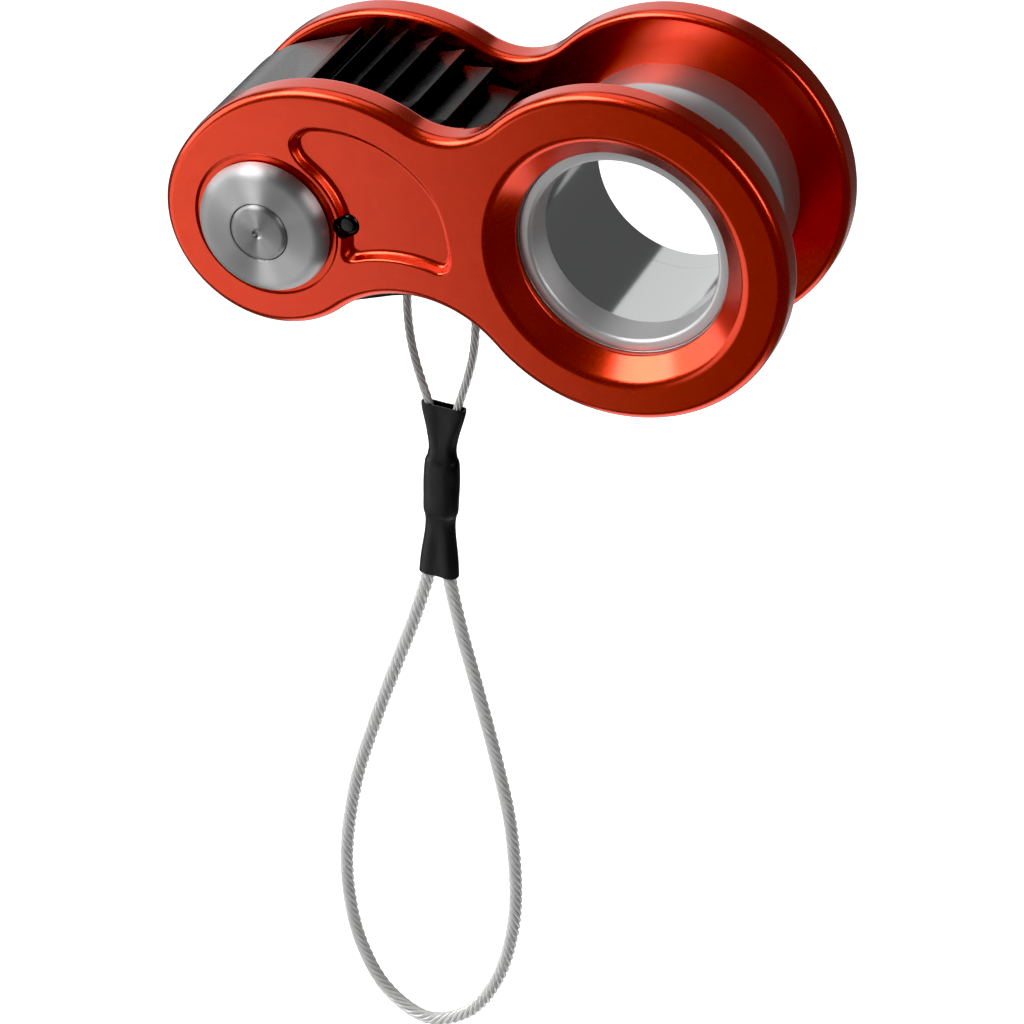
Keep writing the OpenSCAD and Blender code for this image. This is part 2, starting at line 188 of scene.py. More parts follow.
def mirrored(part):
    """The part turned over to the other side, from -Y to +Y."""
    points, faces = part
    return points * [1, -1, 1], [list(reversed(f)) for f in faces]


def extruded(loop, y0, y1):
    """A closed solid between y0 and y1 with the loop as its outline."""
    return joined(loft([level(loop, y0), level(loop, y1)]), flat(loop, [], y0), flat(loop, [], y1))


def to_mesh(name, part, weld=1e-3):
    """A Blender mesh of a part, its points welded and its faces turned outwards."""
    points, faces = part
    mesh = bpy.data.meshes.new(name)
    mesh.from_pydata((np.asarray(points) * MM).tolist(), [], faces)
    work = bmesh.new()
    work.from_mesh(mesh)
    bmesh.ops.remove_doubles(work, verts=work.verts, dist=weld * MM)
    bmesh.ops.dissolve_degenerate(work, edges=work.edges, dist=weld * MM * 0.1)
    bmesh.ops.recalc_face_normals(work, faces=work.faces)
    work.to_mesh(mesh)
    work.free()
    return mesh


def cut(obj, cutters):
    """Takes each cutter's solid out of obj, exactly."""
    for k, part in enumerate(cutters):
        tool = bpy.data.objects.new(f"cutter_{k}", to_mesh("cutter", part))
        bpy.context.scene.collection.objects.link(tool)
        step = obj.modifiers.new("cut", "BOOLEAN")
        step.operation = "DIFFERENCE"
        step.solver = "EXACT"
        step.object = tool
        evaluated = obj.evaluated_get(bpy.context.evaluated_depsgraph_get())
        mesh = bpy.data.meshes.new_from_object(evaluated)
        obj.modifiers.clear()
        obj.data = mesh
        bpy.data.objects.remove(tool)


def merge_flats(mesh):
    """Turns the triangles of each flat face into a few large faces, which keeps their shading even."""
    work = bmesh.new()
    work.from_mesh(mesh)
    bmesh.ops.dissolve_limit(work, angle_limit=math.radians(0.05), verts=work.verts, edges=work.edges)
    work.to_mesh(mesh)
    work.free()


def piece(name, part, body, material, replaces, cutters=(), crease=32, weighted=True, merge=False):
    """One visible piece: its mesh, cuts, shading, material, body and the CAD nodes it stands for."""
    obj = bpy.data.objects.new(name, to_mesh(name, part))
    bpy.context.scene.collection.objects.link(obj)
    cut(obj, cutters)
    if merge:
        merge_flats(obj.data)
    obj.data.materials.clear()
    obj.data.materials.append(material)
    obj.data.polygons.foreach_set("use_smooth", [True] * len(obj.data.polygons))
    obj.data.set_sharp_from_angle(angle=math.radians(crease))
    if weighted:
        normals = obj.modifiers.new("weighted_normals", "WEIGHTED_NORMAL")
        normals.mode = "FACE_AREA"
        normals.weight = 100
        normals.keep_sharp = True
    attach(obj, body)
    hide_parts(*replaces)
    return obj


def smooth_path(points, step):
    """A smooth line through points, its own points about step apart."""
    points = np.asarray(points, float)
    line = []
    for i in range(len(points) - 1):
        a, b = points[max(i - 1, 0)], points[i]
        c, d = points[i + 1], points[min(i + 2, len(points) - 1)]
        count = max(2, round(np.linalg.norm(c - b) / step))
        t = np.arange(count)[:, None] / count
        line.append(0.5 * (2 * b + (c - a) * t + (2 * a - 5 * b + 4 * c - d) * t**2
                           + (3 * b - a - 3 * c + d) * t**3))
    return np.concatenate(line + [points[-1:]]).reshape(-1, points.shape[1])


def frames_along(line, up=(0, 1, 0)):
    """Two unit vectors across the line at each of its points."""
    tangent = np.gradient(line, axis=0)
    tangent /= np.linalg.norm(tangent, axis=1)[:, None]
    first = np.cross(tangent, up)
    first /= np.linalg.norm(first, axis=1)[:, None]
    return first, np.cross(first, tangent)


def closed_tube(rings):
    """A loft with both its ends filled."""
    sides = len(rings[0])
    last = (len(rings) - 1) * sides
    points, faces = loft(rings)
    return points, faces + [list(range(sides))[::-1], [last + k for k in range(sides)]]


# ---------------------------------------------------------------- materials


def new_material(name, color, metallic=0.0, roughness=0.4, **sockets):
    """A Principled material. Sockets are set on the shader itself."""
    material = bpy.data.materials.new(name)
    material.use_nodes = True
    shader = material.node_tree.nodes["Principled BSDF"]
    shader.inputs["Base Color"].default_value = (*color, 1)
    shader.inputs["Metallic"].default_value = metallic
    shader.inputs["Roughness"].default_value = roughness
    for socket, value in sockets.items():
        shader.inputs[socket.replace("_", " ")].default_value = value
    return material, material.node_tree, shader


def math_node(tree, operation, first, second):
    """A maths node's result from two values, each a number or a socket."""
    node = tree.nodes.new("ShaderNodeMath")
    node.operation = operation
    for socket, value in zip(node.inputs, (first, second)):
        if isinstance(value, (int, float)):
            socket.default_value = value
        else:
            tree.links.new(value, socket)
    return node.outputs[0]


def coordinates(tree, scale=(1, 1, 1)):
    """Object coordinates in millimetres, stretched by scale."""
    source = tree.nodes.new("ShaderNodeTexCoord")
    mapping = tree.nodes.new("ShaderNodeMapping")
    mapping.inputs["Scale"].default_value = [s / MM for s in scale]
    tree.links.new(source.outputs["Object"], mapping.inputs["Vector"])
    return mapping.outputs["Vector"]


def noise(tree, vector, scale, detail=3.0, roughness=0.5):
    node = tree.nodes.new("ShaderNodeTexNoise")
    node.inputs["Scale"].default_value = scale
    node.inputs["Detail"].default_value = detail
    node.inputs["Roughness"].default_value = roughness
    tree.links.new(vector, node.inputs["Vector"])
    return node.outputs["Fac"]


def remap(tree, value, low, high, from_low=0.3, from_high=0.7):
    """The value stretched from one range to another. The first is where most of a noise lies."""
    node = tree.nodes.new("ShaderNodeMapRange")
    for name, number in (("From Min", from_low), ("From Max", from_high), ("To Min", low), ("To Max", high)):
        node.inputs[name].default_value = number
    tree.links.new(value, node.inputs["Value"])
    return node.outputs["Result"]


def mixed_color(tree, factor, first, second):
    node = tree.nodes.new("ShaderNodeMix")
    node.data_type = "RGBA"
    node.inputs["A"].default_value = (*first, 1)
    node.inputs["B"].default_value = (*second, 1)
    tree.links.new(factor, node.inputs["Factor"])
    return node.outputs["Result"]


def bump(tree, shader, height, distance):
    """Adds a bump of that height, in millimetres, on top of what the shader's normal already has."""
    node = tree.nodes.new("ShaderNodeBump")
    node.inputs["Distance"].default_value = distance * MM
    node.inputs["Strength"].default_value = 1.0
    tree.links.new(height, node.inputs["Height"])
    old = shader.inputs["Normal"].links
    if old:
        tree.links.new(old[0].from_socket, node.inputs["Normal"])
    tree.links.new(node.outputs["Normal"], shader.inputs["Normal"])


def polar_place(tree, centre):
    """Distance from the Y line through centre and height along it, in millimetres, and angle in degrees."""
    parts = tree.nodes.new("ShaderNodeSeparateXYZ")
    tree.links.new(coordinates(tree), parts.inputs["Vector"])
    x = math_node(tree, "SUBTRACT", parts.outputs["X"], centre[0])
    z = math_node(tree, "SUBTRACT", parts.outputs["Z"], centre[1])
    square = math_node(tree, "ADD", math_node(tree, "MULTIPLY", x, x), math_node(tree, "MULTIPLY", z, z))
    angle = math_node(tree, "MULTIPLY", math_node(tree, "ARCTAN2", z, x), 180 / math.pi)
    return math_node(tree, "POWER", square, 0.5), parts.outputs["Y"], angle


def turned_rings(tree, centre, per_mm):
    """A fine pattern of rings about the Y line through centre, as a lathe leaves, so many to a millimetre."""
    radius, y, _ = polar_place(tree, centre)
    line = tree.nodes.new("ShaderNodeCombineXYZ")
    tree.links.new(math_node(tree, "MULTIPLY", radius, per_mm), line.inputs["X"])
    tree.links.new(math_node(tree, "MULTIPLY", y, per_mm), line.inputs["Y"])
    return noise(tree, line.outputs["Vector"], 1.0, detail=4.0, roughness=0.6)


def radial_tangent(tree, shader):
    """Stretches the shader's reflections about the Y axis."""
    tangent = tree.nodes.new("ShaderNodeTangent")
    tangent.direction_type = "RADIAL"
    tangent.axis = "Y"
    tree.links.new(tangent.outputs["Tangent"], shader.inputs["Tangent"])


def anodised():
    """Orange-red anodised aluminium: a dyed metal under a thin clear oxide, with faint blotches."""
    material, tree, shader = new_material(
        "anodised", (0.82, 0.048, 0.008), metallic=1.0, Coat_Weight=0.7, Coat_Roughness=0.18, Coat_IOR=1.5)
    place = coordinates(tree)
    blotch = noise(tree, place, 0.35, detail=5.0, roughness=0.65)
    color = mixed_color(tree, remap(tree, blotch, 0, 1), (0.79, 0.044, 0.007), (0.85, 0.052, 0.009))
    tree.links.new(color, shader.inputs["Base Color"])
    grain = noise(tree, place, 5.0, detail=4.0, roughness=0.7)
    tree.links.new(remap(tree, grain, 0.23, 0.28), shader.inputs["Roughness"])
    bump(tree, shader, grain, 0.0006)
    return material


def turned_metal(name, color, centre, roughness, anisotropic):
    """Metal off a lathe: reflections stretched across fine rings about centre."""
    rings_per_mm, ring_depth = 12.0, 0.003
    material, tree, shader = new_material(
        name, color, metallic=1.0, roughness=roughness, Anisotropic=anisotropic, Anisotropic_Rotation=0.25)
    radial_tangent(tree, shader)
    rings = turned_rings(tree, centre, rings_per_mm)
    tree.links.new(remap(tree, rings, roughness * 0.85, roughness * 1.2), shader.inputs["Roughness"])
    bump(tree, shader, rings, ring_depth)
    return material


def sleeve_finish():
    """The sleeve: satin turned aluminium outside, burnished inside its bore."""
    material, tree, shader = new_material("sleeve_metal", (0.66, 0.665, 0.67), metallic=1.0, roughness=0.4)
    burnished, satin, rings_per_mm, ring_depth = 0.13, 0.42, 10.0, 0.0015
    radius, _, _ = polar_place(tree, EYE)
    roughness = remap(tree, radius, burnished, satin, from_low=12.5, from_high=13.0)
    tree.links.new(roughness, shader.inputs["Roughness"])
    bump(tree, shader, turned_rings(tree, EYE, rings_per_mm), ring_depth)
    return material


def cam_finish():
    """The cam: glossy black on its teeth, and greyer, part-metallic black round its heel."""
    black, heel_metallic = (0.02, 0.019, 0.02), 0.42
    dark_grey, light_grey = (0.1, 0.102, 0.104), (0.13, 0.132, 0.134)
    material, tree, shader = new_material(
        "cam_finish", black, roughness=0.25, IOR=1.4, Specular_IOR_Level=0.3)
    radius, _, angle = polar_place(tree, AXLE)
    off_teeth = math_node(tree, "ADD", math_node(tree, "GREATER_THAN", angle, HEEL_FROM),
                          math_node(tree, "LESS_THAN", angle, HEEL_TO))
    rim = math_node(tree, "GREATER_THAN", radius, HEEL_R - 0.3)
    heel = math_node(tree, "MULTIPLY", rim, off_teeth)
    place = coordinates(tree)
    patch = noise(tree, place, 0.6, detail=4.0)
    grey = mixed_color(tree, remap(tree, patch, 0, 1), dark_grey, light_grey)
    mix = tree.nodes.new("ShaderNodeMix")
    mix.data_type = "RGBA"
    mix.inputs["A"].default_value = (*black, 1)
    tree.links.new(grey, mix.inputs["B"])
    tree.links.new(heel, mix.inputs["Factor"])
    tree.links.new(mix.outputs["Result"], shader.inputs["Base Color"])
    tree.links.new(math_node(tree, "MULTIPLY", heel, heel_metallic), shader.inputs["Metallic"])
    tree.links.new(remap(tree, patch, 0.21, 0.3), shader.inputs["Roughness"])
    bump(tree, shader, noise(tree, place, 3.0, detail=3.0), 0.004)
    return material


def black_gloss():
    """Glossy black finish, with a faint grain."""
    material, tree, shader = new_material("black_gloss", (0.006, 0.006, 0.0065), roughness=0.2)
    grain = noise(tree, coordinates(tree), 3.0, detail=3.0)
    tree.links.new(remap(tree, grain, 0.2, 0.3), shader.inputs["Roughness"])
    bump(tree, shader, grain, 0.006)
    return material


def plain_metal(name, color, roughness, metallic=1.0):
    """Metal with a faint uneven grain."""
    material, tree, shader = new_material(name, color, metallic=metallic, roughness=roughness)
    grain = noise(tree, coordinates(tree), 4.0, detail=4.0)
    tree.links.new(remap(tree, grain, roughness * 0.8, roughness * 1.3), shader.inputs["Roughness"])
    bump(tree, shader, grain, 0.006)
    return material


def shrunk_rubber():
    """Satin black heat-shrink with faint long ripples."""
    material, tree, shader = new_material("shrunk_rubber", (0.014, 0.014, 0.0145), roughness=0.42)
    ripple = noise(tree, coordinates(tree, (1, 1, 0.3)), 0.9, detail=3.0)
    tree.links.new(remap(tree, ripple, 0.34, 0.5), shader.inputs["Roughness"])
    bump(tree, shader, ripple, 0.04)
    bump(tree, shader, noise(tree, coordinates(tree), 6.0, detail=2.0), 0.01)
    return material


def hazy_clear():
    """Clear vinyl over the wire: mostly see-through, a little milky, with a soft gloss."""
    material, tree, shader = new_material(
        "hazy_clear", (0.95, 0.96, 0.96), roughness=0.22, IOR=1.45, Alpha=0.18)
    haze = noise(tree, coordinates(tree), 1.2, detail=3.0)
    tree.links.new(remap(tree, haze, 0.18, 0.32), shader.inputs["Roughness"])
    bump(tree, shader, haze, 0.02)
    return material


# ---------------------------------------------------------------- pull loop

# Where the loop's own frame starts, below the cam's tail, and how far it leans from plumb, in degrees
LOOP_TOP = np.array([-31.9, -32.4])
LOOP_LEAN = 7.0
WIRE_D, COAT_D = 1.2, 2.0
# The wire's route [across, down] in the loop's own frame, as the CAD model has it
WIRE_ROUTE = [
    [-0.68, 10.6], [-0.7, 6.5], [-1.2, 3], [-4, -5.2], [-5.2, -10.5], [-5.6, -16], [-5.1, -21.5],
    [-4.3, -25.6], [-3.4, -28.2], [-1.3, -29.3], [0.7, -28.2], [1.7, -25.6], [2.9, -21.5], [4, -16],
    [4.1, -10.5], [3.3, -5.2], [1.1, 3.4], [0.68, 7], [0.68, 10.8], [-0.68, 14.8], [-1.12, 25],
    [-3.3, 35], [-6.2, 45], [-9.3, 56], [-11.9, 67], [-13.2, 79], [-12.7, 88.5], [-10.6, 97],
    [-6.5, 104], [0, 107.4], [6.5, 104], [10.6, 97], [12.7, 88.5], [13.2, 79], [11.9, 67],
    [9.3, 56], [6.2, 45], [3.3, 35], [1.12, 25], [0.68, 15.4]]
# The coat runs between these points of the route
COAT_FROM, COAT_TO = 20, 38
# The heat-shrink's sections: how far down, half width and half depth
SHRINK_SECTIONS = [
    [0, 3.2, 0.75], [1.2, 3.05, 0.8], [6, 2.0, 1.05], [8, 2.1, 1.3], [9.6, 2.5, 1.6],
    [16.0, 2.5, 1.6], [17.6, 2.2, 1.45], [19.5, 2.15, 1.35], [25, 2.75, 1.3], [27, 2.9, 1.28]]


def on_loop(points):
    """Points [across, y, down] of the loop's own frame in the object's frame."""
    points = np.asarray(points, float)
    c, s = math.cos(math.radians(LOOP_LEAN)), math.sin(math.radians(LOOP_LEAN))
    x = LOOP_TOP[0] + points[..., 0] * c - points[..., 2] * s
    z = LOOP_TOP[1] - points[..., 0] * s - points[..., 2] * c
    return np.stack([x, points[..., 1], z], -1)


def route_in_frame():
    return on_loop([[across, 0, down] for across, down in WIRE_ROUTE])


def coated_part(line):
    """The first and last of the line's points that the clear coat covers."""
    route = route_in_frame()
    return [int(np.argmin(np.linalg.norm(line - route[k], axis=1))) for k in (COAT_FROM, COAT_TO)]


def stranded_wire():
    """Six strands laid round a core strand, each with six lobes of its own wires, wider under the coat."""
    lay, own_lay, gap, lobes, lobe_share = 7.5, 9.0, 0.08, 6, 0.08
    extra_width, ease, sides = 0.7, 2.0, 18
    line = smooth_path(route_in_frame(), 0.25)
    u, v = frames_along(line)
    along = np.concatenate([[0], np.cumsum(np.linalg.norm(np.diff(line, axis=0), axis=1))])
    angles = np.radians(np.linspace(0, 360, sides, endpoint=False))
    start, end = along[coated_part(line)]
    width = WIRE_D + extra_width * np.clip(np.minimum(along - start, end - along) / ease, 0, 1)
    strand_r = width * (1 - gap) / 6
    twist = -2 * np.pi * along / own_lay
    r = strand_r[:, None] * (1 - lobe_share + lobe_share * np.cos(lobes * (angles + twist[:, None])))
    strand = (r * np.cos(angles))[:, :, None] * u[:, None] + (r * np.sin(angles))[:, :, None] * v[:, None]
    parts = []
    for k in range(6):
        turn = 2 * np.pi * (along / lay + k / 6)
        out = np.cos(turn)[:, None] * u + np.sin(turn)[:, None] * v
        middle = line + out * (width / 2 - strand_r)[:, None]
        parts.append(closed_tube(middle[:, None] + strand))
    return joined(*parts, closed_tube(line[:, None] + strand)), line


def round_tube(line, radius, sides):
    """Rings of that radius along the line."""
    u, v = frames_along(line)
    angles = np.radians(np.linspace(0, 360, sides, endpoint=False))
    circle = np.cos(angles)[None, :, None] * u[:, None] + np.sin(angles)[None, :, None] * v[:, None]
    return line[:, None] + radius * circle


def clear_sleeve():
    """The clear coat: a tube over the lower loop, its wall closed at both ends."""
    clearance, sides = 0.06, 24
    line = smooth_path(route_in_frame(), 0.5)
    first, last = coated_part(line)
    line = line[first:last + 1]
    outer = round_tube(line, COAT_D / 2, sides)
    inner = round_tube(line, WIRE_D / 2 + clearance, sides)
    return loft(np.concatenate([outer, inner[::-1]]), closed_path=True)


def shrink_tube():
    """The heat-shrink: flat-sided rings that dip between the wires and swell over the ferrule."""
    sides, wall, step = 48, 0.25, 0.35
    ferrule_middle, dip, dip_w, squareness, ripple_h = 12.8, 0.12, 0.9, 4, 0.018
    sections = smooth_path(SHRINK_SECTIONS, step)
    angles = np.radians(np.linspace(0, 360, sides, endpoint=False))

    def ring(down, half_w, half_d, inset):
        dipped = dip * np.clip(abs(down - ferrule_middle) / 6 - 0.6, 0, 1)
        across = (half_w - half_d) * np.tanh(squareness * np.cos(angles)) + (half_d - inset) * np.cos(angles)
        depth = (half_d - inset) * np.sin(angles) * (1 - dipped * np.exp(-(across / dip_w) ** 2))
        ripple = ripple_h * np.sin(1.1 * down + 2 * angles) * (inset == 0)
        return on_loop(np.stack([across * (1 + ripple / half_w), depth * (1 + ripple / half_d),
                                 np.full(sides, down)], -1))

    outer = [ring(*s, 0) for s in sections]
    inner = [ring(*s, wall) for s in sections[::-1]]
    return loft(outer + inner, closed_path=True)


def pressed_ferrule():
    """An oval aluminium ferrule pressed round both wires, with rounded ends."""
    low, high, half_w, half_d, edge = 9.2, 16.4, 2.0, 1.25, 0.35
    angles = np.radians(np.linspace(0, 360, 40, endpoint=False))
    ends = [(edge * (1 - math.sin(t)), edge * (1 - math.cos(t))) for t in np.linspace(0, math.pi / 2, 5)]
    sections = [(low + down, inset) for inset, down in ends]
    sections += [(high - down, inset) for inset, down in ends[::-1]]
    rings = []
    for down, inset in sections:
        across = (half_w - half_d) * np.sign(np.cos(angles).round(9)) + (half_d - inset) * np.cos(angles)
        depth = (half_d - inset) * np.sin(angles)
        rings.append(on_loop(np.stack([across, depth, np.full(len(angles), down)], -1)))
    return closed_tube(rings)


def make_pull_loop(steel, vinyl, rubber, ferrule_metal):
    """The wire with its coat, ferrule and heat-shrink."""
    wire_part, line = stranded_wire()
    wire = piece("stranded_wire", wire_part, "pull_loop", steel, ["pull_wire"], weighted=False,
                 crease=60)
    coat = piece("clear_coating", clear_sleeve(), "pull_loop", vinyl, ["clear_coat"],
                 weighted=False, crease=60)
    shrink = piece("heat_shrink_sleeve", shrink_tube(), "pull_loop", rubber, ["heat_shrink"],
                   weighted=False, crease=50)
    crimp = piece("crimp_ferrule", pressed_ferrule(), "pull_loop", ferrule_metal,
                  ["ferrule"])


# ---------------------------------------------------------------- side plates

# The outline's arcs, as the CAD model has them
EYE_LOBE, EYE_LOBE_R = np.array([0.0, 0.45]), 22.45
HEEL_LOBE_R = 14.45
TOP_ARC_R, TOP_ARC_Z = 24.0, 19.5
TOP_WAIST_R, LOW_WAIST_R = 9.5, 15.3
PLATE_EYE_R, DISH_R, DISH_DEPTH = 14.0, 16.92, 2.56
SPOTFACE_R, SPOTFACE_DEPTH = 10.0, 0.15
RELIEF_DEPTH, RELIEF_CLEARANCE, RELIEF_SWEEP = 1.2, 0.3, 60
SLEEVE_R = 16.0
# The bean-shaped pocket's sides: the arc over it, a straight edge out from the axle, the arc below it,
# the arc round the axle's hub and an upright. Then its corners
BEAN_DEPTH, BEAN_MIDDLE = 1.2, np.array([-31.5, 4.0])
BEAN_TOP, BEAN_TOP_R = np.array([-38, -2.5]), 16.7
BEAN_EDGE_ANGLE = 68.4
BEAN_LOW, BEAN_LOW_R = np.array([-30.2, -21]), 18.0
BEAN_HUB_R, BEAN_RIGHT_X = 10.8, -21.2
BEAN_TIP_R, BEAN_FOOT_R, BEAN_CORNER_R = 1.9, 2.0, 3.0
ANCHOR = AXLE + [10.94, 0.7]
ANCHOR_R = 1.6


def meeting(c1, r1, c2, r2, side):
    """The point at distance r1 from c1 and r2 from c2: side 1 is left of the way from c1 to c2, -1 right."""
    d = np.linalg.norm(c2 - c1)
    a = (d * d + r1 * r1 - r2 * r2) / (2 * d)
    h = math.sqrt(r1 * r1 - a * a)
    u = (c2 - c1) / d
    return c1 + a * u + side * h * np.array([-u[1], u[0]])


def outline(inset):
    """The plates' outline, inset: five arcs that touch each other."""
    dz = TOP_ARC_Z - TOP_ARC_R
    top = AXLE + [math.sqrt((TOP_ARC_R - HEEL_LOBE_R) ** 2 - dz * dz), dz]
    high = meeting(top, TOP_ARC_R + TOP_WAIST_R, EYE_LOBE, EYE_LOBE_R + TOP_WAIST_R, 1)
    low = meeting(AXLE, HEEL_LOBE_R + LOW_WAIST_R, EYE_LOBE, EYE_LOBE_R + LOW_WAIST_R, -1)
    lobe, waist = -1, 1
    arcs = [
        (AXLE, HEEL_LOBE_R, low - AXLE, AXLE - top, lobe),
        (top, TOP_ARC_R, AXLE - top, high - top, lobe),
        (high, TOP_WAIST_R, top - high, EYE_LOBE - high, waist),
        (EYE_LOBE, EYE_LOBE_R, high - EYE_LOBE, low - EYE_LOBE, lobe),
        (low, LOW_WAIST_R, EYE_LOBE - low, AXLE - low, waist)]
    degrees_per_step = 2.5
    points = []
    for centre, r, start, end, side in arcs:
        first = heading(start)
        sweep = (heading(end) - first) % 360
        if side == lobe:
            sweep -= 360
        count = math.ceil(abs(sweep) / degrees_per_step)
        points += [centre + turned(first + sweep * k / count, r + side * inset) for k in range(count)]
    return np.array(points)


def smooth_and(first, second, r):
    """Where both values are below nought, with a corner of radius r."""
    inner = np.minimum(np.maximum(first, second), -r)
    return inner + np.hypot(np.maximum(first + r, 0), np.maximum(second + r, 0))


def bean_distance(p):
    """How far points lie outside the bean-shaped pocket's edge."""
    spin = math.radians(BEAN_EDGE_ANGLE)
    edge = -math.sin(spin) * (p[:, 0] - AXLE_X) + math.cos(spin) * p[:, 1]
    top = np.linalg.norm(p - BEAN_TOP, axis=1) - BEAN_TOP_R
    below = BEAN_LOW_R - np.linalg.norm(p - BEAN_LOW, axis=1)
    hub = BEAN_HUB_R - np.linalg.norm(p - AXLE, axis=1)
    tip, foot = smooth_and(top, edge, BEAN_TIP_R), smooth_and(hub, below, BEAN_FOOT_R)
    return smooth_and(smooth_and(tip, foot, BEAN_CORNER_R), p[:, 0] - BEAN_RIGHT_X, BEAN_CORNER_R)


def bean_loop(offset, rays=240):
    """The pocket's edge, grown by offset, found along rays from the pocket's middle by halving."""
    ways = np.array([turned(a) for a in np.linspace(0, 360, rays, endpoint=False)])
    near, far = np.full(rays, 0.5), np.full(rays, 16.0)
    for _ in range(40):
        half = (near + far) / 2
        out = bean_distance(BEAN_MIDDLE + half[:, None] * ways) > offset
        near, far = np.where(out, near, half), np.where(out, half, far)
    return BEAN_MIDDLE + near[:, None] * ways


def quarter(steps):
    """Sine and cosine over a quarter turn, for fillets."""
    return [(math.sin(t), math.cos(t)) for t in np.linspace(0, math.pi / 2, steps + 1)]


def side_plate(hole_r):
    """A plate with its outer face towards -Y: rounded edges, dished eye, spotface and bean pocket."""
    outer_edge, inner_edge, dish_edge, dish_root, seat_edge = 1.3, 1.0, 1.8, 0.4, 0.25
    rim = [(outer_edge * (1 - s), -OUTER_Y + outer_edge * (1 - c)) for s, c in quarter(8)]
    rim += [(inner_edge * (1 - c), -INNER_Y - inner_edge * (1 - s)) for s, c in quarter(6)]
    dish = rounded([(DISH_R + 3, -OUTER_Y, 0), (DISH_R, -OUTER_Y, dish_edge),
                    (PLATE_EYE_R, -OUTER_Y + DISH_DEPTH, dish_root), (PLATE_EYE_R, -INNER_Y, 0)],
                   closed=False, steps=8)[1:]
    seat_y = -OUTER_Y + SPOTFACE_DEPTH
    seat = rounded([(SPOTFACE_R + 1, -OUTER_Y, 0), (SPOTFACE_R, -OUTER_Y, seat_edge),
                    (SPOTFACE_R - 0.35, seat_y, seat_edge), (hole_r, seat_y, 0), (hole_r, -INNER_Y, 0)],
                   closed=False, steps=4)[1:]
    # The pocket's wall leans: a rounded top edge, a slope and a wider rounded root
    wall_top, wall_foot, wall_edge, wall_root = 0.2, -0.4, 0.45, 0.8
    floor = -OUTER_Y + BEAN_DEPTH
    bean = rounded([(2, -OUTER_Y, 0), (wall_top, -OUTER_Y, wall_edge), (wall_foot, floor, wall_root),
                    (-3, floor, 0)], closed=False, steps=6)[1:-1]
    bean_rings = [bean_loop(offset) for offset, _ in bean]
    dish_part, seat_part = revolved(dish, EYE, closed=False, sides=180), revolved(seat, AXLE, closed=False)
    dish_loops = dish_part[0].reshape(len(dish), -1, 3)[:, :, [0, 2]]
    seat_loops = seat_part[0].reshape(len(seat), -1, 3)[:, :, [0, 2]]
    return joined(
        loft([level(outline(inset), y) for inset, y in rim]),
        dish_part,
        seat_part,
        loft([level(loop, y) for loop, (_, y) in zip(bean_rings, bean)]),
        flat(outline(outer_edge), [dish_loops[0], seat_loops[0], bean_rings[0]], -OUTER_Y),
        flat(outline(inner_edge), [dish_loops[-1], seat_loops[-1]], -INNER_Y),
        flat(bean_rings[-1], [], floor))


def circle_loop(centre, r, sides=96):
    return [centre + turned(a, r) for a in np.linspace(0, 360, sides, endpoint=False)]


def relief_cutters():
    """The pocket in the front plate's back that the sleeve's end swings through."""
    reach = np.linalg.norm(EYE - AXLE)
    r_in, r_out = reach - SLEEVE_R - RELIEF_CLEARANCE, reach + SLEEVE_R + RELIEF_CLEARANCE
    angles = np.linspace(0, RELIEF_SWEEP, 49)
    loop = [AXLE + turned(a, r_out) for a in angles] + [AXLE + turned(a, r_in) for a in angles[::-1]]
    depth = (-INNER_Y - RELIEF_DEPTH, -INNER_Y + 1)
    return [extruded(loop, *depth), extruded(circle_loop(EYE, SLEEVE_R + RELIEF_CLEARANCE, 144), *depth)]


def make_plates(finish):
    """The front plate, whose hole takes the bush, and the rear plate, whose hole takes the axle."""
    bush_r, anchor_hole_depth = low_high("plate_bush")[1][0] - AXLE_X, 2.4
    anchor_hole = extruded(circle_loop(ANCHOR, ANCHOR_R, 48), -OUTER_Y - 1, -OUTER_Y + anchor_hole_depth)
    piece("front_side_plate", side_plate(bush_r), "front_side", finish, ["front_plate"],
          cutters=[*relief_cutters(), anchor_hole], merge=True)
    piece("rear_side_plate", mirrored(side_plate(AXLE_R)), "rear_frame", finish,
          ["rear_plate"], merge=True)


# ---------------------------------------------------------------- eye


def sleeve_profile(bush_len, flange_r, flange_t, tube_r, bore_r):
    """The sleeve's profile [radius, y]: front bush seat, rope groove, collar in the rear plate, rear seat."""
    low, high = low_high("rope_sleeve")
    front, back = low[1], high[1]
    groove_half_w, groove_depth, end_edge, small_edge, hair = 4.17, 0.9, 0.4, 0.1, 0.05
    groove_r = (groove_half_w**2 + groove_depth**2) / (2 * groove_depth)
    spread = math.degrees(math.asin(groove_half_w / groove_r))
    groove = [(SLEEVE_R - groove_depth + groove_r - turned(a, groove_r)[0], turned(a, groove_r)[1])
              for a in np.linspace(-spread, spread, 25)]
    seat_r = flange_r + hair
    front_seat = rounded([(bore_r, front + bush_len, 0), (tube_r, front + bush_len, 0),
                          (tube_r, front + flange_t, 0), (seat_r, front + flange_t, 0),
                          (seat_r, front, small_edge), (SLEEVE_R, front, 0)], closed=False)[:-1]
    front_edge = rounded([(flange_r, front, 0), (SLEEVE_R, front, end_edge), (SLEEVE_R, -groove_half_w, 0)],
                         closed=False)[1:-1]
    far_end = rounded([(SLEEVE_R, groove_half_w, 0), (SLEEVE_R, INNER_Y, small_edge),
                       (PLATE_EYE_R, INNER_Y, 0), (PLATE_EYE_R, back, small_edge), (tube_r, back, hair),
                       (tube_r, back - bush_len + flange_t, 0), (bore_r, back - bush_len + flange_t, 0)],
                      closed=False)[1:]
    return front_seat + front_edge + groove + far_end


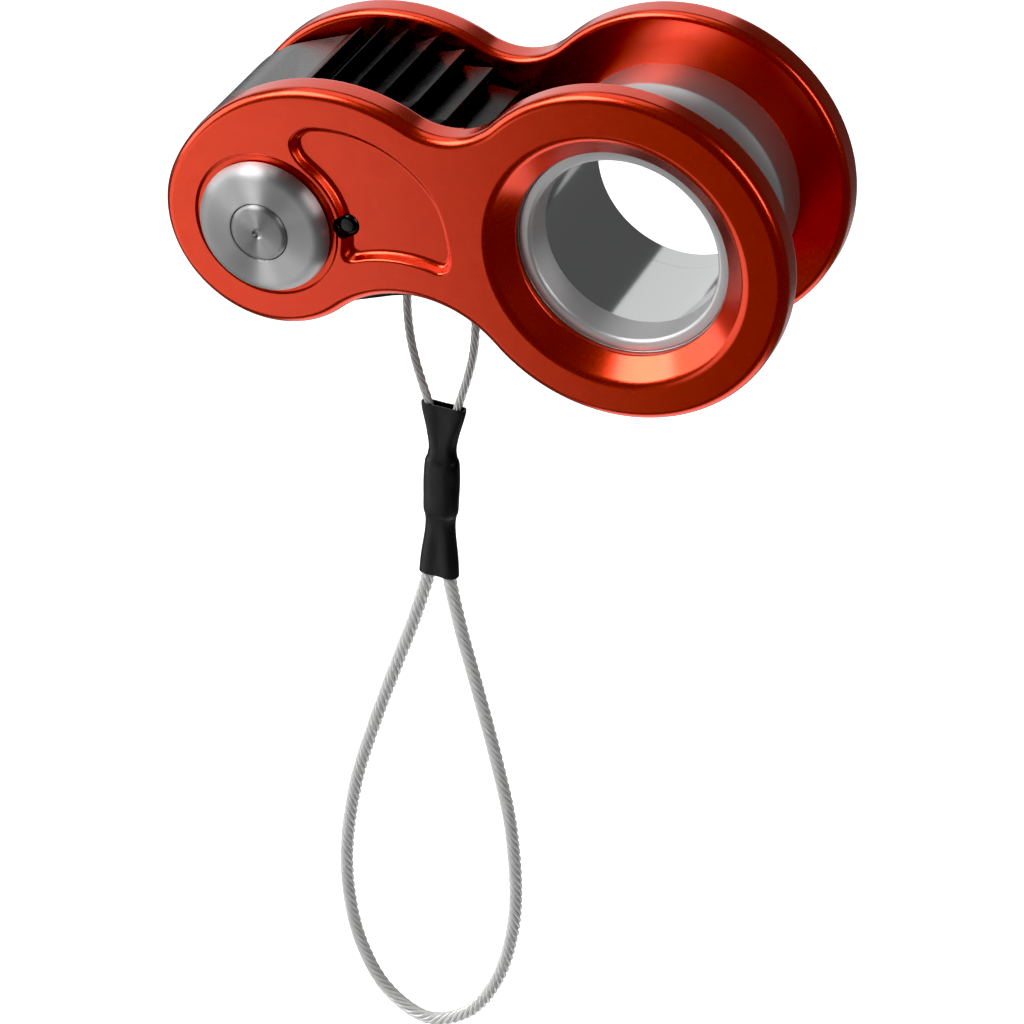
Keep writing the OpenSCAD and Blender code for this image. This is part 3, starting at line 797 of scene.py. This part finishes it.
def make_eye(sleeve_metal, eye_metal):
    """The sleeve and the two flanged liners in its ends."""
    low, high = low_high("front_eye_bush")
    flange_r, flange_t, tube_r, bore_r = high[0], 0.9, 13.0, 12.25
    bore_mouth_r, eye_r, mouth, rim = 12.35, 12.0, 0.55, 0.15
    sleeve = revolved(sleeve_profile(high[1] - low[1], flange_r, flange_t, tube_r, bore_r), EYE, sides=180)
    piece("turned_rope_sleeve", sleeve, "rear_frame", sleeve_metal, ["rope_sleeve"])

    def liner(mouth_r, end_r, end_edge):
        corners = [(mouth_r, low[1], mouth), (flange_r, low[1], rim), (flange_r, low[1] + flange_t, 0),
                   (tube_r, low[1] + flange_t, 0), (tube_r, high[1], 0.1), (end_r, high[1], end_edge)]
        return revolved(rounded(corners, steps=7), EYE, sides=180)

    piece("front_eye_liner", liner(bore_mouth_r, eye_r, 0.1), "rear_frame", eye_metal,
          ["front_eye_bush"])
    # The rear liner lies flush with the bore
    points, faces = mirrored(liner(bore_r, bore_r, 0.05))
    shift = low_high("rear_eye_bush")[1][1] + low[1]
    piece("rear_eye_liner", (points + [0, shift, 0], faces), "rear_frame", sleeve_metal,
          ["rear_eye_bush"])


# ---------------------------------------------------------------- axle


def make_axle(metal, end_metal):
    """The axle with a rivet head at each end, and the turned caps under the heads."""
    cap_low, cap_high = low_high("front_axle_cap")
    cap_r, cap_face, seat = cap_high[0] - AXLE_X, cap_low[1], cap_high[1]
    rear_seat = low_high("rear_axle_cap")[0][1]
    front_end, rear_end = AXLE_LOW[1], AXLE_HIGH[1]
    rivet_r, rivet_edge, edge, centre_mark_r, centre_mark_depth = 3.95, 0.75, 0.1, 0.75, 0.3
    mark_floor = front_end + centre_mark_depth
    shaft = rounded([(0, mark_floor, 0), (0.5, mark_floor, edge), (centre_mark_r, front_end, edge),
                     (rivet_r, front_end, rivet_edge), (rivet_r, seat, 0), (AXLE_R, seat, edge),
                     (AXLE_R, rear_seat, edge), (rivet_r, rear_seat, 0), (rivet_r, rear_end, rivet_edge),
                     (0, rear_end, 0)], closed=False)
    piece("riveted_axle", revolved(shaft, AXLE, closed=False), "rear_frame", end_metal,
          ["axle"])
    hole_r, rim, fall = rivet_r + 0.05, 1.7, 0.15
    cap = rounded([(hole_r, seat, 0), (hole_r, cap_face, 0.12), (cap_r - rim, cap_face + fall, 0.2),
                   (cap_r, cap_face + fall, rim), (cap_r, seat, 0.15)], steps=8)
    part = revolved(cap, AXLE, sides=180)
    piece("front_turned_cap", part, "rear_frame", metal, ["front_axle_cap"])
    # The rear cap is the same, with its seat drawn out to the rear plate's
    points, faces = mirrored(part)
    at_seat = np.abs(points[:, 1] + seat) < 0.3
    points[:, 1] += (rear_seat + seat) * at_seat
    piece("rear_turned_cap", (points, faces), "rear_frame", metal, ["rear_axle_cap"])


def make_rings(bronze, steel):
    """The bushes and washers on the axle, with broken edges and a hair of clearance at each face."""
    for node, body, slot, metal in (
            ("plate_bush", "front_side", "bush_bronze", bronze),
            ("cam_bush", "cam_group", "bush_bronze", bronze),
            ("friction_washer", "rear_frame", "washer_steel", steel),
            ("front_thrust_washer", "front_side", "washer_steel", steel),
            ("rear_thrust_washer", "rear_frame", "washer_steel", steel)):
        low, high = low_high(node)
        r_in, r_out, edge, gap = AXLE_R + 0.05, high[0] - AXLE_X, 0.12, 0.02
        y0, y1 = low[1] + gap, high[1] - gap
        ring = rounded([(r_in, y0, edge), (r_out, y0, edge), (r_out, y1, edge), (r_in, y1, edge)], steps=3)
        piece(f"{node}_ring", revolved(ring, AXLE), body, metal, [node])


# ---------------------------------------------------------------- cam

# The heel runs from this angle round to the tail
HEEL_R, HEEL_FROM, HEEL_TO = 15.0, 80, -62
# The tooth tips' spiral: its radius at the bend, its rise per degree below it, and how the rise eases off
SPIRAL_R, SPIRAL_RATE, SPIRAL_BEND, SPIRAL_EASE = 28.6, 0.2, 24, 0.004
TEETH, LOW_TOOTH, TOOTH_PITCH, TOOTH_DEPTH = 9, 5.1, 8.5, 2.1
# The angles that a tooth's steep side, the land below it and its blunt tip take up
STEEP, LAND, TIP = 1.1, 1.7, 0.35
# The small rib at each tooth's root: how far down from the steep side, in degrees, and how high
ROOT_RIB = [(0, 0), (0.9, 0), (1.15, 0.45), (1.6, 0.45), (1.9, 0.1)]
# The tail's corners, from the axle
CAM_TAIL = np.array([[27.2, -4.6], [24.5, -8.8], [20, -10.6], [14, -11.5]])
CORD_PIN = np.array([-30.0, -6.0])


def spiral(a):
    """The tooth tips' distance from the axle at that angle."""
    below = SPIRAL_BEND - a
    return SPIRAL_R + SPIRAL_RATE * below - SPIRAL_EASE * max(below, 0) ** 2


def cam_loop(height, inset):
    """The cam's outline with its teeth at that share of their height, the rest drawn in by inset."""
    tips = [LOW_TOOTH + TOOTH_PITCH * (TEETH - 1 - i) for i in range(TEETH)]
    start, tail_reach, heel_step = tips[0] + TOOTH_PITCH - STEEP - LAND, 25, 2.5
    root = spiral(tips[0]) - TOOTH_DEPTH
    heel_end = start + math.degrees(math.acos(HEEL_R / root))
    points = [AXLE + turned(start, root - inset)]
    for a in tips:
        tip = spiral(a) - TOOTH_DEPTH * (1 - height)
        root = spiral(a) - TOOTH_DEPTH - inset
        points += [AXLE + turned(a + TIP, tip), AXLE + turned(a, tip)]
        points += [AXLE + turned(a - STEEP - down, root + up) for down, up in ROOT_RIB]
    points += list(AXLE + CAM_TAIL * (1 - inset / tail_reach))
    points += [AXLE + turned(a, HEEL_R - inset) for a in np.arange(360 + HEEL_TO, heel_end, -heel_step)]
    return np.array(points)


def cam_body(half_w):
    """The cam's solid, its teeth chamfered away towards both faces."""
    chamfer, edge = 1.1, 0.2
    rings = [(-half_w, 0.0, edge), (-half_w + edge, 0.05, 0), (-half_w + chamfer, 1.0, 0)]
    rings += [(-y, height, inset) for y, height, inset in rings[::-1]]
    loops = [cam_loop(height, inset) for _, height, inset in rings]
    return joined(loft([level(loop, y) for loop, (y, _, _) in zip(loops, rings)]),
                  flat(loops[0], [], -half_w), flat(loops[-1], [], half_w))


def stop_slot():
    """The curved slot in the cam's front face that the anchor pin runs in."""
    reach, start = np.linalg.norm(ANCHOR - AXLE), heading(ANCHOR - AXLE)
    sweep, slot_r, inner_r, end_steps, side_steps = 88, 1.32, 7.4, 13, 23
    ends = [AXLE + turned(start + a, reach) for a in (0, sweep)]
    half_turn = np.linspace(0, 180, end_steps)
    loop = [ends[1] + turned(start + sweep + a, slot_r) for a in half_turn]
    loop += [AXLE + turned(start + sweep - a, inner_r) for a in np.linspace(0, sweep, side_steps)]
    loop += [ends[0] + turned(start + 180 + a, slot_r) for a in half_turn]
    loop += [AXLE + turned(start + a, reach + slot_r) for a in np.linspace(2, sweep - 2, side_steps)]
    return loop


def cam_cutters(half_w):
    """What is cut out of the cam: bore, spring recess, stop slot, the tail's slot and the cord pin's hole."""
    bush_r = low_high("cam_bush")[1][0] - AXLE_X
    recess_in, recess_out, recess_depth, stop_depth, slot_half_w, cord_pin_r = 6.9, 9.7, 7.4, 2.6, 2.0, 1.6
    through = (-half_w - 1, half_w + 1)
    floor = -half_w + recess_depth
    recess = revolved([(recess_in, through[0]), (recess_out, through[0]), (recess_out, floor),
                       (recess_in, floor)], AXLE, sides=96)
    tail_slot = [AXLE + p for p in ([10.4, 1.6], [10.4, -4], [3, -13], [0, -20], [40, -20], [40, 1.6])]
    return [extruded(circle_loop(AXLE, bush_r), *through), recess,
            extruded(stop_slot(), through[0], -half_w + stop_depth),
            extruded(tail_slot, -slot_half_w, slot_half_w),
            extruded(circle_loop(CORD_PIN, cord_pin_r, 48), *through)]


def make_cam(finish, pin_metal, spring_metal, black):
    """The cam, the pin that its wire loops round, its spring and the spring's anchor pin."""
    half_w = low_high("cam")[1][1]
    piece("toothed_cam", cam_body(half_w), "cam_group", finish, ["cam"],
          cutters=cam_cutters(half_w), crease=24, merge=True)
    low, high = low_high("cord_pin")
    pin_r, edge = (high[0] - low[0]) / 2, 0.2
    pin = rounded([(0, low[1], 0), (pin_r, low[1], edge), (pin_r, high[1], edge), (0, high[1], 0)],
                  closed=False, steps=3)
    piece("loop_pin", revolved(pin, CORD_PIN, closed=False, sides=48), "cam_group", pin_metal,
          ["cord_pin"])
    piece("torsion_spring", spring_coil(), "front_side", spring_metal, ["cam_spring"],
          weighted=False, crease=60)
    piece("stop_and_spring_pin", stop_pin(), "front_side", black, ["spring_anchor_pin"])


def spring_coil():
    """A close coil round the cam's hub, its front leg out over the anchor pin."""
    wire_r, coil_r, turns, front_y, back_y, steps_per_turn = 0.6, 8.3, 4, -8.1, -2.15, 36
    pin_r, clearance = 1.2, 0.08
    leg = heading(ANCHOR - AXLE + [0, pin_r + wire_r + clearance])
    steps = turns * steps_per_turn
    shares = np.arange(2, steps + 1) / steps
    coil = [[*(AXLE + turned(leg - 360 * turns * t, coil_r)), front_y + (back_y - front_y) * t]
            for t in shares]
    # The leg's points: how far from the axle, and how far round from the leg's own angle
    legs = [[*(AXLE + turned(leg - a, r)), front_y] for r, a in ((11.6, 0), (9.4, 0), (8.55, 6))]
    line = np.array(legs + coil)[:, [0, 2, 1]]
    return closed_tube(round_tube(smooth_path(line, 0.5), wire_r, 16))


def stop_pin():
    """The black anchor pin, its domed head in the pocket's floor, and the spring's bent tip beside it."""
    low, high = low_high("spring_anchor_pin")
    floor, pin_r = low[1], (high[0] - low[0]) / 2
    head_r, proud, dome, head_depth = ANCHOR_R - 0.08, 0.35, 0.7, 1.75
    top, under = floor - proud, floor + head_depth
    profile = rounded([(0, top, 0), (head_r, top, dome), (head_r, under, 0), (pin_r, under, 0),
                       (pin_r, high[1], 0.2), (0, high[1], 0)], closed=False, steps=8)
    tip_r, tip_at, tip_top, tip_foot, tip_dome = 0.62, ANCHOR + [-1.5, -0.5], floor - 0.75, floor + 0.4, 0.45
    tip = rounded([(0, tip_top, 0), (tip_r, tip_top, tip_dome), (tip_r, tip_foot, 0), (0, tip_foot, 0)],
                  closed=False, steps=5)
    return joined(revolved(profile, ANCHOR, closed=False, sides=64),
                  revolved(tip, tip_at, closed=False, sides=40))


# ---------------------------------------------------------------- stage


# Each panel: name, azimuth, elevation, width, height in metres, radiance
PANELS = [
    ("key", 226, 42, 0.6, 0.45, 6.5),
    ("left_fill", 197, 16, 0.6, 0.7, 2.2),
    ("left_low", 219, -22, 0.85, 0.6, 1.0),
    ("floor_bounce", 270, -89, 0.9, 0.9, 1.15),
    ("overhead", 170, 74, 0.8, 0.8, 1.0),
    ("back_left", 121, 20, 1.1, 0.95, 0.75),
    ("back_low", 118, -40, 1.25, 0.45, 0.3),
    ("right_strip", 343, 22, 0.14, 0.6, 6.0)]


def softbox(name, azimuth, elevation, width, height, radiance):
    """A soft panel a metre from the object, as bright as radiance. The camera doesn't see it."""
    aim, distance = Vector((-0.02, 0, 0)), 1.0
    a, e = math.radians(azimuth), math.radians(elevation)
    way = Vector((math.cos(e) * math.cos(a), math.cos(e) * math.sin(a), math.sin(e)))
    data = bpy.data.lights.new(name, "AREA")
    data.shape = "RECTANGLE"
    data.size, data.size_y = width, height
    data.energy = radiance * math.pi * width * height
    light = bpy.data.objects.new(name, data)
    light.location = way * distance + aim
    light.rotation_euler = (-way).to_track_quat("-Z", "Y").to_euler()
    light.visible_camera = False
    bpy.context.scene.collection.objects.link(light)


def make_studio():
    """A white floor and walls that only the camera sees, soft panels, and a dim world."""
    floor_z, radius, air = -0.26, 3.0, 0.11
    mesh = bpy.data.meshes.new("studio")
    work = bmesh.new()
    bmesh.ops.create_uvsphere(work, u_segments=48, v_segments=24, radius=radius)
    for v in work.verts:
        v.co.z = max(v.co.z, floor_z)
    work.to_mesh(mesh)
    work.free()
    material, _, shader = new_material("pale_floor", (0.8, 0.8, 0.8), roughness=0.8)
    shader.inputs["Emission Color"].default_value = (1, 1, 1, 1)
    shader.inputs["Emission Strength"].default_value = 1.0
    mesh.materials.append(material)
    studio = bpy.data.objects.new("studio", mesh)
    studio.visible_diffuse = studio.visible_glossy = False
    studio.visible_transmission = studio.visible_shadow = False
    bpy.context.scene.collection.objects.link(studio)
    world = bpy.data.worlds.new("studio_air")
    world.use_nodes = True
    world.node_tree.nodes["Background"].inputs["Color"].default_value = (1, 1, 1, 1)
    world.node_tree.nodes["Background"].inputs["Strength"].default_value = air
    bpy.context.scene.world = world
    for panel in PANELS:
        softbox(*panel)


def set_view():
    """Plain colours, the darkest tones pulled down to black."""
    view = bpy.context.scene.view_settings
    view.view_transform = "Standard"
    view.use_curve_mapping = True
    view.curve_mapping.black_level = (0.008, 0.008, 0.008)
    view.curve_mapping.update()


# ---------------------------------------------------------------- the object

add_camera()
make_pull_loop(plain_metal("wire_steel", (1.0, 1.0, 0.99), 0.16, metallic=0.35), hazy_clear(),
               shrunk_rubber(), plain_metal("ferrule_metal", (0.7, 0.7, 0.7), 0.4))
make_plates(anodised())
make_eye(sleeve_finish(), turned_metal("eye_metal", (0.82, 0.825, 0.83), EYE, 0.46, 0.5))
make_axle(turned_metal("cap_metal", (0.6, 0.6, 0.605), AXLE, 0.42, 0.95),
          turned_metal("axle_end_metal", (0.42, 0.42, 0.425), AXLE, 0.42, 0.9))
make_rings(plain_metal("bronze", (0.5, 0.32, 0.12), 0.35),
           plain_metal("washer_metal", (0.45, 0.45, 0.45), 0.35))
make_cam(cam_finish(), plain_metal("pin_metal", (0.5, 0.5, 0.5), 0.3),
         plain_metal("spring_metal", (0.3, 0.3, 0.31), 0.3), black_gloss())
make_studio()
set_view()
